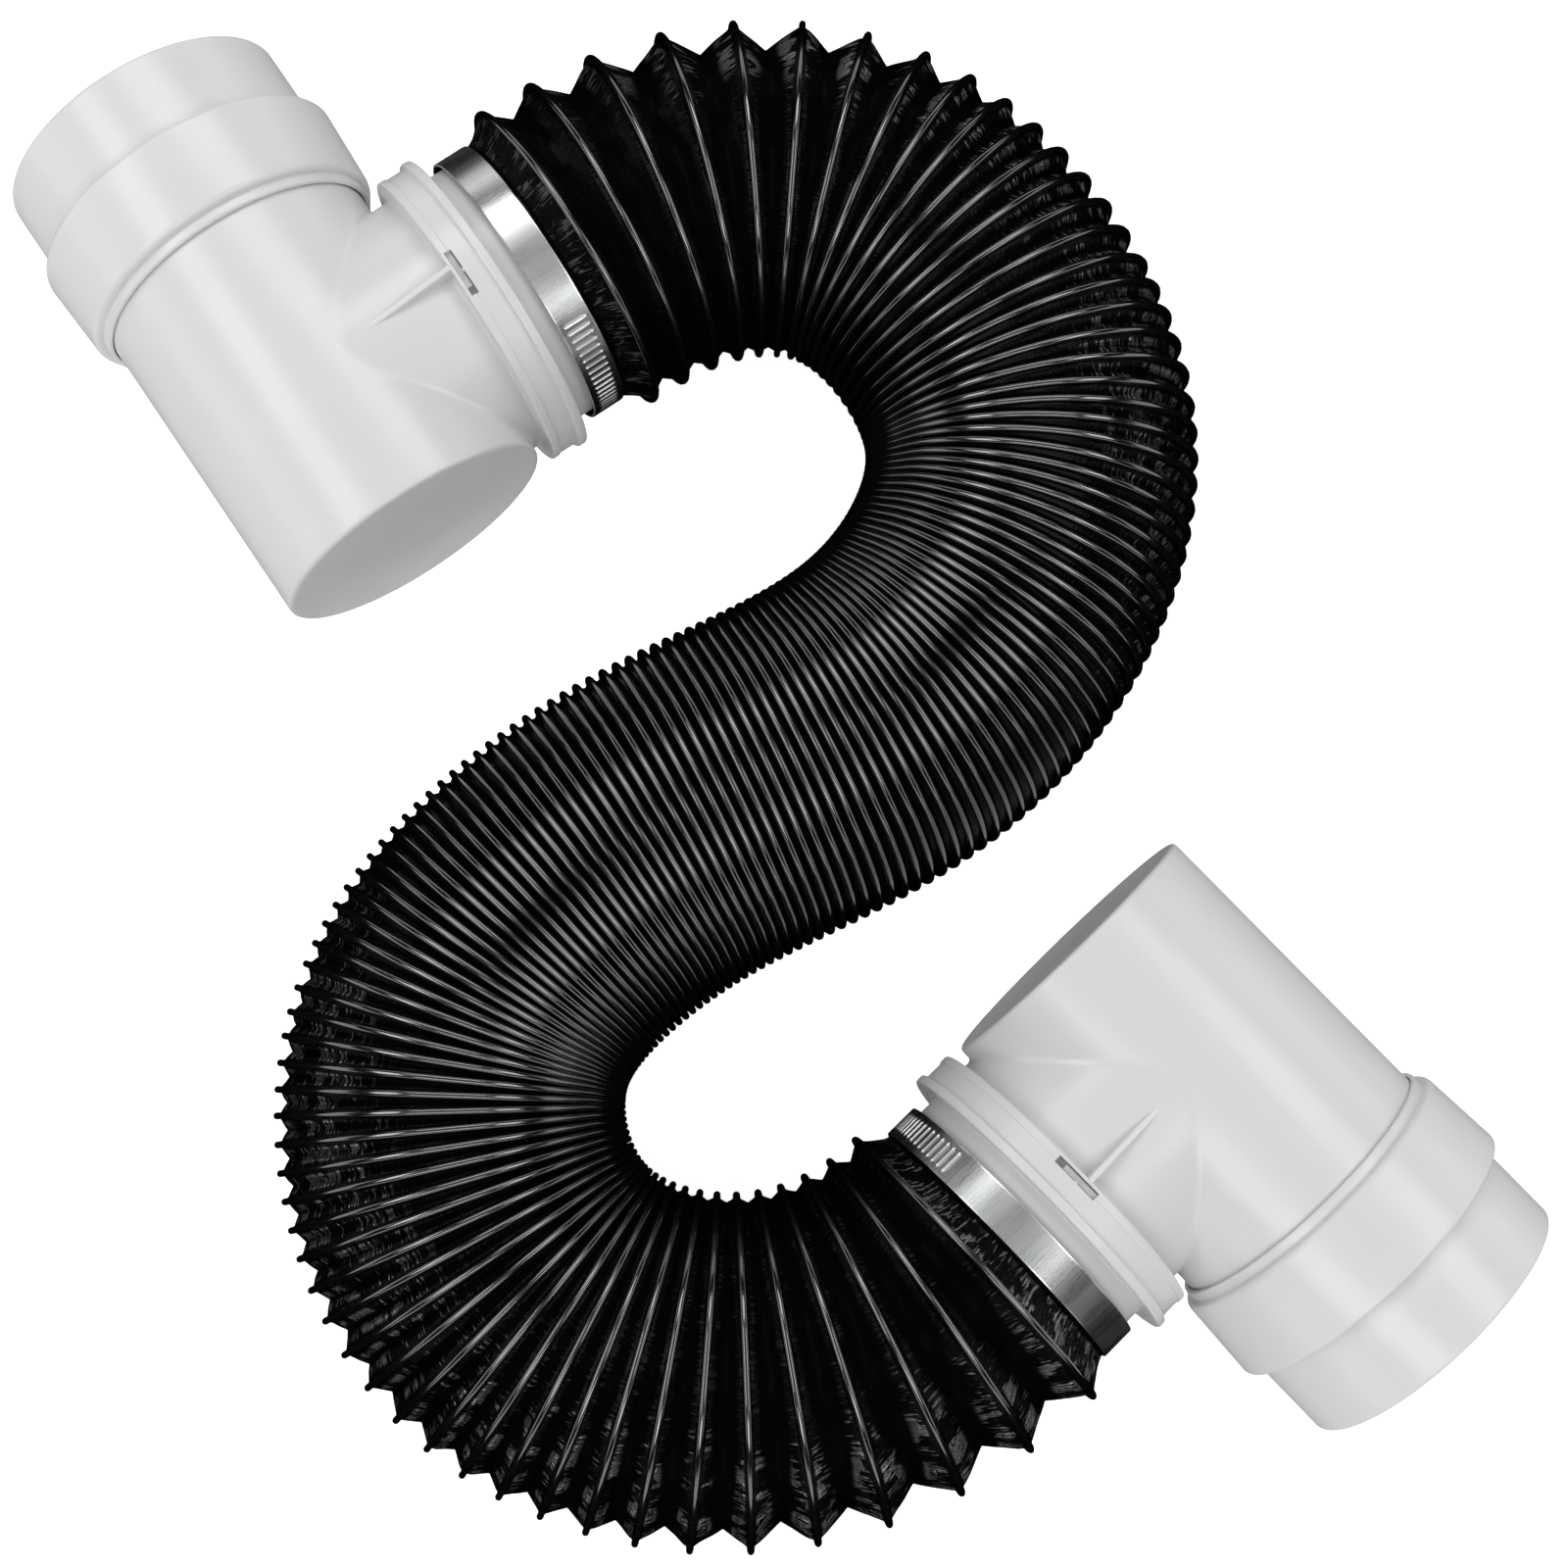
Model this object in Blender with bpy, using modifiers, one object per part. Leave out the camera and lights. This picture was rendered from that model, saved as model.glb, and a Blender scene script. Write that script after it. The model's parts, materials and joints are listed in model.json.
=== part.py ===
"""Flexible dryer vent hose, nominal 4 inch, with a right-angle connector on each end.

Metres, +Z up. The hose lies on the floor in an S. Connector A's branch points along +X and its open end
along +Y. Each connector is modelled once in its own frame: the branch along +X, the open end along +Y, and
the origin where the two axes cross. All the pipe axes lie at one height.
"""
import math

import bmesh
import bpy
import numpy as np
from mathutils import Matrix, Vector

# Clearances
FIT_GAP = 0.0003  # pieces that touch
SWIVEL_GAP = 0.0005  # between the elbow and the end collar that turns on it
WORM_GAP = 0.0004  # round the worm screw

# Hose: film over one spring wire
PLEAT_HEIGHT = 0.0092  # from the bore to the wire's crests
FOLD_WALL = 0.0007  # from the bore to the bottom of the folds
CUFF_WALL = 0.0006
CUFF_LENGTH = 0.0135
FIRST_CREST = 0.0230  # from the hose's end
END_PITCH = 0.0189  # wave length where the hose is drawn out
MID_PITCH = 0.0038  # wave length where it is pushed together
PITCH_REACH = 0.120  # how far from the first crest the long waves go
PITCH_POWER = 2.9
HOSE_SIDES = 16
BORE_RING_EVERY = 3  # waves for each ring of points on the smooth bore

# Spigot
SPIGOT_RADIUS = 0.0500
SPIGOT_WALL = 0.0020
SPIGOT_REACH = 0.0243  # past the end of the elbow's branch
FLANGE_RISE = 0.0030  # the flange that seats in the elbow, above the tube
TOOTH_WIDTH = 0.0060
TOOTH_RISE = 0.0022

# Elbow
BRANCH_STEP = 0.0006  # the branch is this much larger in radius than the spigot
BRANCH_WALL = 0.0028
BODY_STEP = 0.0019  # and the body this much larger than the branch
BODY_WALL = 0.0025
BODY_EDGE = 0.0020
BODY_IN_COLLAR = 0.0295  # how far the body reaches into the end collar
CLOSED_MARGIN = 0.0054  # from the branch's side to the closed end
BAND_SETBACK = 0.0052  # from the body's side to the band
BAND_LENGTH = 0.0140
BAND_WALL = 0.0039
BACK_BEAD_RISE = 0.0005
BACK_BEAD_WIDTH = 0.0030
BACK_BEAD_EDGE = 0.0008
FRONT_BEAD_RISE = 0.0017
FRONT_BEAD_WIDTH = 0.0035
FRONT_BEAD_EDGE = 0.0010
RIB_LENGTH = 0.0327  # up to the band
RIB_WIDTH = 0.0022
WINDOW_WIDTH = 0.0160
WINDOW_DEPTH = 0.0028
WINDOW_INSET = 0.0012  # from the band's back face
WINDOW_TURN = math.radians(3.0)  # the windows sit a little towards the closed end
ELBOW_SIDES = 32

# End collar
COLLAR_SETBACK = 0.0084  # from the branch's side to the collar
LIP_WALL = 0.0017
LIP_LENGTH = 0.0040
SHOULDER_WALL = 0.0047
SHOULDER_EDGE = 0.0022
SEAM_WALL = 0.0064
SEAM_EDGE = 0.0025
RING_LENGTH = 0.0345  # from the lip to the seam with the sleeve
SLEEVE_STOP = 0.0010  # how much the sleeve's bore is smaller in radius than the body
SLEEVE_WALL = 0.0030
SLEEVE_LENGTH = 0.0305  # past the seam
SLEEVE_EDGE = 0.0012

# Worm-drive clamp
CLAMP_SETBACK = 0.0071  # from the elbow's branch to the clamp
BAND_WIDTH = 0.0127
BAND_THICKNESS = 0.0007
SLOT_COUNT = 14
SLOT_PITCH = 0.0032
SLOT_LENGTH = 0.0080
SLOT_WIDTH = 0.0014
FIRST_SLOT = math.radians(40)  # from the top, towards the closed end
HOUSING_TURN = math.radians(150)
HOUSING_LENGTH = 0.0140
HOUSING_WIDTH = 0.0136
HOUSING_HEIGHT = 0.0086
HOUSING_EDGE = 0.0025
WORM_RADIUS = 0.0028
WORM_OVERHANG = 0.0015
HEAD_RADIUS = 0.0042
HEAD_LENGTH = 0.0050
HEAD_SLOT = 0.0012
CLAMP_SIDES = 48
SCREW_SIDES = 12

# Where the connectors lie, and the points that the hose passes between them
CONNECTORS = {
    "a": ((0.0, 0.0), 0.0),
    "b": ((0.1173, -0.3635), math.radians(189.6)),
}
STRAIGHT_START = 0.0212  # the hose leaves each connector straight for this length
ROUTE = [
    (0.164, -0.011), (0.202, -0.042), (0.217, -0.102), (0.204, -0.151), (0.122, -0.202), (0.074, -0.202),
    (0.024, -0.195), (-0.030, -0.195), (-0.084, -0.214), (-0.117, -0.294), (-0.090, -0.347), (-0.037, -0.378),
]
ROUTE_STEP = 0.005

# Derived sizes
CUFF_BORE = (SPIGOT_RADIUS + FIT_GAP) / math.cos(math.pi / HOSE_SIDES)  # to the corners of its facets
CUFF_RADIUS = CUFF_BORE + CUFF_WALL
HOSE_CREST_RADIUS = CUFF_BORE + PLEAT_HEIGHT
HOSE_FOLD_RADIUS = CUFF_BORE + FOLD_WALL
CLAMP_BORE = CUFF_RADIUS + FIT_GAP
CLAMP_RADIUS = CLAMP_BORE + BAND_THICKNESS
BRANCH_RADIUS = SPIGOT_RADIUS + BRANCH_STEP
BODY_RADIUS = BRANCH_RADIUS + BODY_STEP
CLOSED_END = BRANCH_RADIUS + CLOSED_MARGIN
FLANGE_RADIUS = SPIGOT_RADIUS + FLANGE_RISE
SOCKET_RADIUS = FLANGE_RADIUS + FIT_GAP
BAND_RADIUS = SOCKET_RADIUS + BAND_WALL
BACK_BEAD_RADIUS = BAND_RADIUS + BACK_BEAD_RISE
FRONT_BEAD_RADIUS = BAND_RADIUS + FRONT_BEAD_RISE
BAND_START = BODY_RADIUS + BAND_SETBACK
BRANCH_END = BAND_START + BAND_LENGTH
SOCKET_FLOOR = BAND_START + WINDOW_INSET - FIT_GAP
SPIGOT_END = BRANCH_END + SPIGOT_REACH
CLAMP_START = BRANCH_END + CLAMP_SETBACK
COLLAR_START = BRANCH_RADIUS + COLLAR_SETBACK
COLLAR_SEAM = COLLAR_START + RING_LENGTH
COLLAR_BORE = BODY_RADIUS + SWIVEL_GAP
LIP_RADIUS = COLLAR_BORE + LIP_WALL
SHOULDER_RADIUS = COLLAR_BORE + SHOULDER_WALL
SEAM_RADIUS = COLLAR_BORE + SEAM_WALL
BODY_OPEN_END = COLLAR_START + BODY_IN_COLLAR
SLEEVE_BORE = BODY_RADIUS - SLEEVE_STOP
SLEEVE_RADIUS = SLEEVE_BORE + SLEEVE_WALL
SLEEVE_END = COLLAR_SEAM + SLEEVE_LENGTH
HOUSING_FLOOR = CLAMP_RADIUS + FIT_GAP
WORM_HEIGHT = HOUSING_FLOOR + FIT_GAP + WORM_GAP + WORM_RADIUS  # above the clamp's axis
PAST = 0.010  # how far a cutter reaches past what it cuts
ROUND_STEPS = 2  # facets on a rounded edge

ALONG = {"x": Matrix.Rotation(math.pi / 2, 4, "Y"), "y": Matrix.Rotation(-math.pi / 2, 4, "X"), "z": Matrix()}


def clear_scene():
    for thing in list(bpy.data.objects):
        bpy.data.objects.remove(thing, do_unlink=True)


def make_collection(name):
    group = bpy.data.collections.new(name)
    bpy.context.scene.collection.children.link(group)
    return group


def make_material(name, colour, roughness, metallic=0.0):
    finish = bpy.data.materials.new(name)
    finish.use_nodes = True
    shader = finish.node_tree.nodes["Principled BSDF"]
    shader.inputs["Base Color"].default_value = (*colour, 1.0)
    shader.inputs["Roughness"].default_value = roughness
    shader.inputs["Metallic"].default_value = metallic
    return finish


def link_mesh(name, mesh, group):
    thing = bpy.data.objects.new(name, mesh)
    group.objects.link(thing)
    return thing


def turned(name, profile, axis, sides, closed=True):
    """A turned solid. The profile lists (station, radius) down its outer side and back up its bore."""
    shape = bmesh.new()
    points = [shape.verts.new((radius, 0.0, station)) for station, radius in profile]
    for first, second in zip(points, points[1:] + points[:1] if closed else points[1:]):
        shape.edges.new((first, second))
    mesh = bpy.data.meshes.new(name)
    shape.to_mesh(mesh)
    shape.free()
    thing = link_mesh(name, mesh, WORKSHOP)
    thing.matrix_world = ALONG[axis]
    screw = thing.modifiers.new("turn", "SCREW")
    screw.axis = "Z"
    screw.angle = 2 * math.pi
    screw.steps = screw.render_steps = sides
    screw.use_merge_vertices = True
    screw.merge_threshold = 0.00001
    return thing


def turned_core(name, low, high, radius, axis, sides):
    """A plain round core, used to cut a bore."""
    return turned(name, [(high, 0.0), (high, radius), (low, radius), (low, 0.0)], axis, sides, closed=False)


def block(name, size, matrix):
    shape = bmesh.new()
    bmesh.ops.create_cube(shape, size=1.0, matrix=Matrix.Diagonal((*size, 1.0)))
    mesh = bpy.data.meshes.new(name)
    shape.to_mesh(mesh)
    shape.free()
    thing = link_mesh(name, mesh, WORKSHOP)
    thing.matrix_world = matrix
    return thing


def combine(target, tool, operation):
    tool.hide_render = True
    tool.display_type = "WIRE"
    step = target.modifiers.new(operation.lower(), "BOOLEAN")
    step.operation = operation
    step.solver = "EXACT"
    step.object = tool


def baked(thing, smooth_angle=math.radians(35)):
    """The mesh of a finished piece, in the connector's frame."""
    bpy.context.view_layer.update()
    seen = thing.evaluated_get(bpy.context.evaluated_depsgraph_get())
    mesh = bpy.data.meshes.new_from_object(seen)
    mesh.transform(thing.matrix_world)
    mesh.shade_smooth()
    mesh.set_sharp_from_angle(angle=smooth_angle)
    return mesh


def round_band(station, radius, length, edge, steps=ROUND_STEPS):
    """The outer side of a bead or band with rounded edges, from its far end down to its near end."""
    points = []
    for end, turn in ((station + length - edge, 0), (station + edge, 1)):
        for step in range(steps + 1):
            angle = math.pi / 2 * step / steps + math.pi / 2 * turn
            points.append((end + edge * math.cos(angle), radius - edge + edge * math.sin(angle)))
    return points


def elbow_mesh():
    body_outline = [(BODY_OPEN_END, 0.0), (BODY_OPEN_END, BODY_RADIUS)]
    body_outline += round_band(-CLOSED_END, BODY_RADIUS, CLOSED_END, BODY_EDGE)[ROUND_STEPS + 1:]
    body_outline += [(-CLOSED_END, 0.0)]
    body = turned("elbow", body_outline, "y", ELBOW_SIDES, closed=False)

    branch_outline = [(BRANCH_END, 0.0)]
    branch_outline += round_band(
        BRANCH_END - FRONT_BEAD_WIDTH, FRONT_BEAD_RADIUS, FRONT_BEAD_WIDTH, FRONT_BEAD_EDGE)
    branch_outline += [
        (BRANCH_END - FRONT_BEAD_WIDTH, BAND_RADIUS), (BAND_START + BACK_BEAD_WIDTH, BAND_RADIUS)]
    branch_outline += round_band(BAND_START, BACK_BEAD_RADIUS, BACK_BEAD_WIDTH, BACK_BEAD_EDGE)
    branch_outline += [(BAND_START, BRANCH_RADIUS), (0.0, BRANCH_RADIUS), (0.0, 0.0)]
    combine(body, turned("branch", branch_outline, "x", ELBOW_SIDES, closed=False), "UNION")

    rib_base = BRANCH_RADIUS - BRANCH_WALL / 2
    rib_start = BAND_START - RIB_LENGTH
    for side in (1, -1):
        shape = bmesh.new()
        corners = [
            (rib_start, rib_base), (BAND_START + BACK_BEAD_WIDTH / 2, rib_base),
            (BAND_START + BACK_BEAD_WIDTH / 2, BAND_RADIUS), (BAND_START, BAND_RADIUS),
            (rib_start, BRANCH_RADIUS),
        ]
        ends = [
            [shape.verts.new((x, y, side * z)) for x, z in corners] for y in (-RIB_WIDTH / 2, RIB_WIDTH / 2)]
        shape.faces.new(ends[0])
        shape.faces.new(ends[1])
        for first in range(len(corners)):
            second = (first + 1) % len(corners)
            shape.faces.new((ends[0][first], ends[0][second], ends[1][second], ends[1][first]))
        bmesh.ops.recalc_face_normals(shape, faces=shape.faces)
        mesh = bpy.data.meshes.new("rib")
        shape.to_mesh(mesh)
        shape.free()
        combine(body, link_mesh("rib", mesh, WORKSHOP), "UNION")

    body_bore = turned_core(
        "body_bore", BODY_WALL - CLOSED_END, BODY_OPEN_END + PAST, BODY_RADIUS - BODY_WALL, "y", ELBOW_SIDES)
    branch_bore = turned_core(
        "branch_bore", 0.0, BRANCH_END + PAST, BRANCH_RADIUS - BRANCH_WALL, "x", ELBOW_SIDES)
    socket = turned_core("socket", SOCKET_FLOOR, BRANCH_END + PAST, SOCKET_RADIUS, "x", ELBOW_SIDES)
    for cutter in (body_bore, branch_bore, socket):
        combine(body, cutter, "DIFFERENCE")
    for turn in (WINDOW_TURN, WINDOW_TURN + math.pi):
        place = Matrix.Rotation(turn, 4, "X") @ Matrix.Translation(
            (BAND_START + WINDOW_INSET + WINDOW_DEPTH / 2, 0.0, BAND_RADIUS))
        window = block("window", (WINDOW_DEPTH, WINDOW_WIDTH, 2 * (BAND_RADIUS - SPIGOT_RADIUS)), place)
        combine(body, window, "DIFFERENCE")
    return baked(body)


def end_collar_mesh():
    outline = round_band(COLLAR_SEAM, SLEEVE_RADIUS, SLEEVE_END - COLLAR_SEAM, SLEEVE_EDGE)[:ROUND_STEPS + 1]
    outline += [(COLLAR_SEAM, SLEEVE_RADIUS)]
    outline += round_band(COLLAR_START, SEAM_RADIUS, RING_LENGTH, SEAM_EDGE)[:ROUND_STEPS + 1]
    lip_end = COLLAR_START + LIP_LENGTH
    outline += round_band(lip_end, SHOULDER_RADIUS, RING_LENGTH, SHOULDER_EDGE)[ROUND_STEPS + 1:]
    outline += [(lip_end, LIP_RADIUS)]
    outline += round_band(COLLAR_START, LIP_RADIUS, LIP_LENGTH, LIP_WALL / 2)[ROUND_STEPS + 1:]
    outline += [
        (COLLAR_START, COLLAR_BORE),
        (BODY_OPEN_END + SWIVEL_GAP, COLLAR_BORE),
        (BODY_OPEN_END + SWIVEL_GAP, SLEEVE_BORE),
        (SLEEVE_END, SLEEVE_BORE),
    ]
    return baked(turned("end_collar", outline, "y", ELBOW_SIDES))


def spigot_mesh():
    flange_back = SOCKET_FLOOR + FIT_GAP
    bore = SPIGOT_RADIUS - SPIGOT_WALL
    outline = [
        (SPIGOT_END, SPIGOT_RADIUS - SPIGOT_WALL / 2), (SPIGOT_END - SPIGOT_WALL, SPIGOT_RADIUS),
        (BRANCH_END, SPIGOT_RADIUS), (BRANCH_END, FLANGE_RADIUS),
        (flange_back, FLANGE_RADIUS), (flange_back, bore), (SPIGOT_END, bore),
    ]
    spigot = turned("spigot", outline, "x", ELBOW_SIDES)
    tooth_depth = WINDOW_DEPTH - 2 * FIT_GAP
    for turn in (WINDOW_TURN, WINDOW_TURN + math.pi):
        place = Matrix.Rotation(turn, 4, "X") @ Matrix.Translation(
            (BAND_START + WINDOW_INSET + WINDOW_DEPTH / 2, 0.0, FLANGE_RADIUS))
        combine(spigot, block("tooth", (tooth_depth, TOOTH_WIDTH, 2 * TOOTH_RISE), place), "UNION")
    return baked(spigot)


def clamp_turn(angle):
    """Turns a shape that is built at the top of the clamp towards the connector's closed end."""
    return Matrix.Rotation(angle, 4, "X")


def clamp_band_mesh():
    end = CLAMP_START + BAND_WIDTH
    outline = [(end, CLAMP_RADIUS), (CLAMP_START, CLAMP_RADIUS), (CLAMP_START, CLAMP_BORE), (end, CLAMP_BORE)]
    band = turned("clamp_band", outline, "x", CLAMP_SIDES)
    middle = Matrix.Translation((CLAMP_START + BAND_WIDTH / 2, 0.0, CLAMP_RADIUS))
    for number in range(SLOT_COUNT):
        place = clamp_turn(FIRST_SLOT + number * SLOT_PITCH / CLAMP_RADIUS) @ middle
        slot = block("slot", (SLOT_LENGTH, SLOT_WIDTH, 6 * BAND_THICKNESS), place)
        combine(band, slot, "DIFFERENCE")
    return baked(band)


def housing_mesh():
    centre = Matrix.Translation((CLAMP_START + BAND_WIDTH / 2, 0.0, HOUSING_FLOOR + HOUSING_HEIGHT / 2))
    housing = block("clamp_housing", (HOUSING_WIDTH, HOUSING_LENGTH, HOUSING_HEIGHT), centre)
    edges = housing.modifiers.new("edges", "BEVEL")
    edges.width = HOUSING_EDGE
    edges.segments = 2
    edges.limit_method = "ANGLE"
    edges.angle_limit = math.radians(60)
    worm_bore = turned_core(
        "worm_bore", -HOUSING_LENGTH, HOUSING_LENGTH, WORM_RADIUS + WORM_GAP, "z", SCREW_SIDES)
    worm_bore.matrix_world = Matrix.Translation((CLAMP_START + BAND_WIDTH / 2, 0.0, WORM_HEIGHT)) @ ALONG["y"]
    combine(housing, worm_bore, "DIFFERENCE")
    under = turned_core("under", 0.0, CLAMP_START + 2 * BAND_WIDTH, HOUSING_FLOOR, "x", CLAMP_SIDES)
    combine(housing, under, "DIFFERENCE")
    return baked(housing)


def screw_mesh():
    """The worm screw along +Y through its own origin, its slotted head at the -Y end."""
    tip = HOUSING_LENGTH / 2 + WORM_OVERHANG
    neck = -HOUSING_LENGTH / 2 - FIT_GAP
    outline = [
        (tip, 0.0), (tip, WORM_RADIUS), (neck, WORM_RADIUS), (neck, HEAD_RADIUS),
        (neck - HEAD_LENGTH, HEAD_RADIUS), (neck - HEAD_LENGTH, 0.0),
    ]
    screw = turned("clamp_screw", outline, "y", SCREW_SIDES, closed=False)
    place = Matrix.Translation((0.0, neck - HEAD_LENGTH, 0.0))
    combine(screw, block("driver_slot", (HEAD_SLOT, HEAD_LENGTH, 3 * HEAD_RADIUS), place), "DIFFERENCE")
    return baked(screw)


def connector_frame(end):
    (x, y), angle = CONNECTORS[end]
    return Matrix.Translation((x, y, 0.0)) @ Matrix.Rotation(angle, 4, "Z")


def smooth_curve(points, first_slope, last_slope):
    """Points on the smooth cubic curve through the given points, with the slopes held at its two ends."""
    points = np.array(points)
    span = np.linalg.norm(np.diff(points, axis=0), axis=1)
    chord = np.diff(points, axis=0) / span[:, None]
    matrix = np.eye(len(points))
    slopes = np.zeros_like(points)
    slopes[0] = first_slope
    slopes[-1] = last_slope
    for i in range(1, len(points) - 1):
        matrix[i, i - 1:i + 2] = span[i], 2 * (span[i - 1] + span[i]), span[i - 1]
        slopes[i] = 3 * (span[i] * chord[i - 1] + span[i - 1] * chord[i])
    slopes = np.linalg.solve(matrix, slopes)
    curve = []
    for i, length in enumerate(span):
        for t in np.arange(0, 1, ROUTE_STEP / length / 4):
            a, b = points[i], points[i + 1]
            start, end = slopes[i] * length, slopes[i + 1] * length
            square = 3 * (b - a) - 2 * start - end
            cube = 2 * (a - b) + start + end
            curve.append(a + t * start + t ** 2 * square + t ** 3 * cube)
    return np.array(curve + [points[-1]])


def hose_centreline():
    """Evenly spaced points from the hose's end on connector A to its end on connector B."""
    frames = [connector_frame(end) for end in ("a", "b")]
    ends = [np.array((frame @ Vector((CLAMP_START, 0.0, 0.0)))[:2]) for frame in frames]
    leave = [np.array((frame @ Vector((CLAMP_START + STRAIGHT_START, 0.0, 0.0)))[:2]) for frame in frames]
    slopes = [np.array(frame.to_3x3() @ Vector((1.0, 0.0, 0.0)))[:2] for frame in frames]
    curve = smooth_curve([leave[0], *ROUTE, leave[1]], slopes[0], -slopes[1])
    curve = np.vstack([ends[0], curve, ends[1]])
    travel = np.concatenate([[0.0], np.cumsum(np.linalg.norm(np.diff(curve, axis=0), axis=1))])
    even = np.linspace(0.0, travel[-1], round(travel[-1] / ROUTE_STEP) + 1)
    line = np.column_stack([np.interp(even, travel, curve[:, axis]) for axis in (0, 1)])
    return line, travel[-1]


def wave_crests(length):
    """Where the wire's turns lie along the hose, the same from both ends."""
    crests = [FIRST_CREST]
    while crests[-1] < length / 2:
        reach = (crests[-1] - FIRST_CREST) / PITCH_REACH
        crests.append(crests[-1] + MID_PITCH + (END_PITCH - MID_PITCH) / (1 + reach ** PITCH_POWER))
    fit = (length / 2 - FIRST_CREST) / (crests[-1] - FIRST_CREST)
    half = [FIRST_CREST + (crest - FIRST_CREST) * fit for crest in crests]
    return half + [length - crest for crest in reversed(half[:-1])]


def build_hose(group, finish):
    line, length = hose_centreline()
    crests = wave_crests(length)
    outer = [(0.0, CUFF_RADIUS), (CUFF_LENGTH, CUFF_RADIUS)]
    for number, crest in enumerate(crests):
        outer.append((crest, HOSE_CREST_RADIUS))
        if number + 1 < len(crests):
            outer.append(((crest + crests[number + 1]) / 2, HOSE_FOLD_RADIUS))
    outer += [(length - CUFF_LENGTH, CUFF_RADIUS), (length, CUFF_RADIUS)]
    rings = sorted({0.0, *crests[::BORE_RING_EVERY], crests[-1], length})
    bore = [(ring, CUFF_BORE) for ring in rings]
    hose = turned("straight_hose", list(reversed(outer)) + bore, "z", HOSE_SIDES)
    path = bpy.data.curves.new("hose_route", "CURVE")
    path.dimensions = "3D"
    path.twist_mode = "Z_UP"
    spline = path.splines.new("POLY")
    spline.points.add(len(line) - 1)
    for point, (x, y) in zip(spline.points, line):
        point.co = (x, y, 0.0, 1.0)
    route = link_mesh("hose_route", path, WORKSHOP)
    bend = hose.modifiers.new("bend", "CURVE")
    bend.object = route
    bend.deform_axis = "POS_Z"
    add_piece("hose", baked(hose, math.radians(20)), Matrix(), group, finish)


def add_piece(name, mesh, matrix, group, finish):
    piece = link_mesh(name, mesh, group)
    piece.parent = LAYOUT
    piece.matrix_local = matrix
    mesh.materials.clear()
    mesh.materials.append(finish)


def build_connectors(group, finishes):
    white, steel, screw_steel = finishes
    meshes = {
        "elbow": (elbow_mesh(), white),
        "end_collar": (end_collar_mesh(), white),
        "spigot": (spigot_mesh(), white),
        "clamp_band": (clamp_band_mesh(), steel),
        "clamp_housing": (housing_mesh(), steel),
        "clamp_screw": (screw_mesh(), screw_steel),
    }
    housing_place = clamp_turn(HOUSING_TURN)
    screw_place = housing_place @ Matrix.Translation((CLAMP_START + BAND_WIDTH / 2, 0.0, WORM_HEIGHT))
    places = {"clamp_housing": housing_place, "clamp_screw": screw_place}
    for end in CONNECTORS:
        for kind, (mesh, finish) in meshes.items():
            add_piece(f"{kind}_{end}", mesh, connector_frame(end) @ places.get(kind, Matrix()), group, finish)


def stand_on_floor(group):
    """Moves the layout so that the origin is at the middle of its footprint, on the floor."""
    bpy.context.view_layer.update()
    corners = np.array([
        piece.matrix_world @ vertex.co for piece in group.objects for vertex in piece.data.vertices])
    low, high = corners.min(axis=0), corners.max(axis=0)
    LAYOUT.location = (-(low[0] + high[0]) / 2, -(low[1] + high[1]) / 2, -low[2])
    bpy.context.view_layer.update()


clear_scene()
WORKSHOP = make_collection("workshop")
PARTS = make_collection("dryer_vent_hose")
LAYOUT = bpy.data.objects.new("layout", None)
bpy.context.scene.collection.objects.link(LAYOUT)
WHITE = make_material("white_plastic", (0.80, 0.80, 0.80), 0.35)
FILM = make_material("black_film", (0.010, 0.010, 0.011), 0.25)
STEEL = make_material("clamp_steel", (0.62, 0.63, 0.64), 0.28, 1.0)
SCREW_STEEL = make_material("screw_steel", (0.55, 0.56, 0.57), 0.35, 1.0)
build_connectors(PARTS, (WHITE, STEEL, SCREW_STEEL))
build_hose(PARTS, FILM)
stand_on_floor(PARTS)
for helper in list(WORKSHOP.objects):
    bpy.data.objects.remove(helper, do_unlink=True)
bpy.data.collections.remove(WORKSHOP)
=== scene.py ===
import json
import math

import bmesh
import bpy
import numpy as np
from mathutils import Matrix, Vector


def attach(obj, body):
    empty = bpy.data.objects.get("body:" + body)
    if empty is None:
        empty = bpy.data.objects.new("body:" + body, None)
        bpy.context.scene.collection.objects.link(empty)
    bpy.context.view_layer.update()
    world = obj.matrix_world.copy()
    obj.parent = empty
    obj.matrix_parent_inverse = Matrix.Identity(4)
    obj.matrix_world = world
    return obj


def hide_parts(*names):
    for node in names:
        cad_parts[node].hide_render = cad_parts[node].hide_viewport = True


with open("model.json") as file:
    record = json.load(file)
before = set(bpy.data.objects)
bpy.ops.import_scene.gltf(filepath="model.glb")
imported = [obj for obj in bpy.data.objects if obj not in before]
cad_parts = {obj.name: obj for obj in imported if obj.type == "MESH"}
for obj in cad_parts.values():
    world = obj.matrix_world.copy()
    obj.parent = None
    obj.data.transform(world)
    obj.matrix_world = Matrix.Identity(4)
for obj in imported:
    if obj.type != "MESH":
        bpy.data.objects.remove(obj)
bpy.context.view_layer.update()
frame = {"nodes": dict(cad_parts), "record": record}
print("frame loaded:", len(frame["nodes"]), "nodes")

# Shapes are worked out in millimetres and stored in metres.
toMetres = 0.001

# Camera, almost straight above, turned so that the S runs as in the photo
cameraSettings = {
    "place": (-0.080838, -0.094754, 0.858341),
    "turn": (8.026, -2.2, -34.5),  # degrees
    "lens": 51.99,
    "sensorWidth": 36.0,
}


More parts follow.
